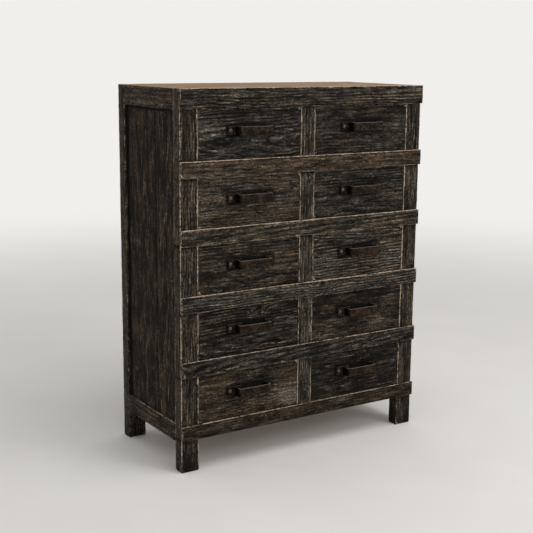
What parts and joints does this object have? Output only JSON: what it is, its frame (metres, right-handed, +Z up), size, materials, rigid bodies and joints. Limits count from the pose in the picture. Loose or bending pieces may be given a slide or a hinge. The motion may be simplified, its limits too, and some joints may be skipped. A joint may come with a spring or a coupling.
{
  "type": "seed storage cabinet",
  "caption": "Floor-standing wooden seed chest on square legs, with rows of dovetailed drawers sliding on wooden runners behind front rails, each opened by a bent flat-iron pull.",
  "frame": {"origin": "floor level, at the middle of the chest's width and of its depth over the pulls", "axes": "+X to the right seen from the front, +Y to the back, +Z up"},
  "size_m": [0.93, 0.4584, 1.2],
  "materials": {
    "black_painted_wood": "distressed black paint over reclaimed boards, worn to the wood along the edges",
    "weathered_top_wood": "weathered grey-beige boards",
    "bare_inner_wood": "bare planed softwood, aged",
    "forged_iron": "dark rusty brown iron, hammered"
  },
  "bodies": {
    "carcass": {"post_front_left": "black_painted_wood", "post_front_right": "black_painted_wood", "post_rear_left": "black_painted_wood", "post_rear_right": "black_painted_wood", "rail_front_top": "black_painted_wood", "rail_front_1": "black_painted_wood", "rail_front_2": "black_painted_wood", "rail_front_3": "black_painted_wood", "rail_front_4": "black_painted_wood", "rail_front_bottom": "black_painted_wood", "centre_stile": "black_painted_wood", "centre_partition": "bare_inner_wood", "side_rails": "black_painted_wood", "side_panels": "black_painted_wood", "rear_rails": "black_painted_wood", "back_boards": "black_painted_wood", "top_boards": "weathered_top_wood", "bottom_boards": "bare_inner_wood", "drawer_runners": "bare_inner_wood", "drawer_guides": "bare_inner_wood"},
    "drawer_1_left": {"drawer_1_left_front": "black_painted_wood", "drawer_1_left_box": "bare_inner_wood", "drawer_1_left_bottom": "bare_inner_wood", "drawer_1_left_pull": "forged_iron"},
    "drawer_1_right": {"drawer_1_right_front": "black_painted_wood", "drawer_1_right_box": "bare_inner_wood", "drawer_1_right_bottom": "bare_inner_wood", "drawer_1_right_pull": "forged_iron"},
    "drawer_2_left": {"drawer_2_left_front": "black_painted_wood", "drawer_2_left_box": "bare_inner_wood", "drawer_2_left_bottom": "bare_inner_wood", "drawer_2_left_pull": "forged_iron"},
    "drawer_2_right": {"drawer_2_right_front": "black_painted_wood", "drawer_2_right_box": "bare_inner_wood", "drawer_2_right_bottom": "bare_inner_wood", "drawer_2_right_pull": "forged_iron"},
    "drawer_3_left": {"drawer_3_left_front": "black_painted_wood", "drawer_3_left_box": "bare_inner_wood", "drawer_3_left_bottom": "bare_inner_wood", "drawer_3_left_pull": "forged_iron"},
    "drawer_3_right": {"drawer_3_right_front": "black_painted_wood", "drawer_3_right_box": "bare_inner_wood", "drawer_3_right_bottom": "bare_inner_wood", "drawer_3_right_pull": "forged_iron"},
    "drawer_4_left": {"drawer_4_left_front": "black_painted_wood", "drawer_4_left_box": "bare_inner_wood", "drawer_4_left_bottom": "bare_inner_wood", "drawer_4_left_pull": "forged_iron"},
    "drawer_4_right": {"drawer_4_right_front": "black_painted_wood", "drawer_4_right_box": "bare_inner_wood", "drawer_4_right_bottom": "bare_inner_wood", "drawer_4_right_pull": "forged_iron"},
    "drawer_5_left": {"drawer_5_left_front": "black_painted_wood", "drawer_5_left_box": "bare_inner_wood", "drawer_5_left_bottom": "bare_inner_wood", "drawer_5_left_pull": "forged_iron"},
    "drawer_5_right": {"drawer_5_right_front": "black_painted_wood", "drawer_5_right_box": "bare_inner_wood", "drawer_5_right_bottom": "bare_inner_wood", "drawer_5_right_pull": "forged_iron"}
  },
  "joints": [
    {"name": "drawer_1_left_slide", "type": "slide", "parent": "carcass", "child": "drawer_1_left", "axis": [0, -1, 0], "range_m": [0, 0.28]},
    {"name": "drawer_1_right_slide", "type": "slide", "parent": "carcass", "child": "drawer_1_right", "axis": [0, -1, 0], "range_m": [0, 0.28]},
    {"name": "drawer_2_left_slide", "type": "slide", "parent": "carcass", "child": "drawer_2_left", "axis": [0, -1, 0], "range_m": [0, 0.28]},
    {"name": "drawer_2_right_slide", "type": "slide", "parent": "carcass", "child": "drawer_2_right", "axis": [0, -1, 0], "range_m": [0, 0.28]},
    {"name": "drawer_3_left_slide", "type": "slide", "parent": "carcass", "child": "drawer_3_left", "axis": [0, -1, 0], "range_m": [0, 0.28]},
    {"name": "drawer_3_right_slide", "type": "slide", "parent": "carcass", "child": "drawer_3_right", "axis": [0, -1, 0], "range_m": [0, 0.28]},
    {"name": "drawer_4_left_slide", "type": "slide", "parent": "carcass", "child": "drawer_4_left", "axis": [0, -1, 0], "range_m": [0, 0.28]},
    {"name": "drawer_4_right_slide", "type": "slide", "parent": "carcass", "child": "drawer_4_right", "axis": [0, -1, 0], "range_m": [0, 0.28]},
    {"name": "drawer_5_left_slide", "type": "slide", "parent": "carcass", "child": "drawer_5_left", "axis": [0, -1, 0], "range_m": [0, 0.28]},
    {"name": "drawer_5_right_slide", "type": "slide", "parent": "carcass", "child": "drawer_5_right", "axis": [0, -1, 0], "range_m": [0, 0.28]}
  ]
}
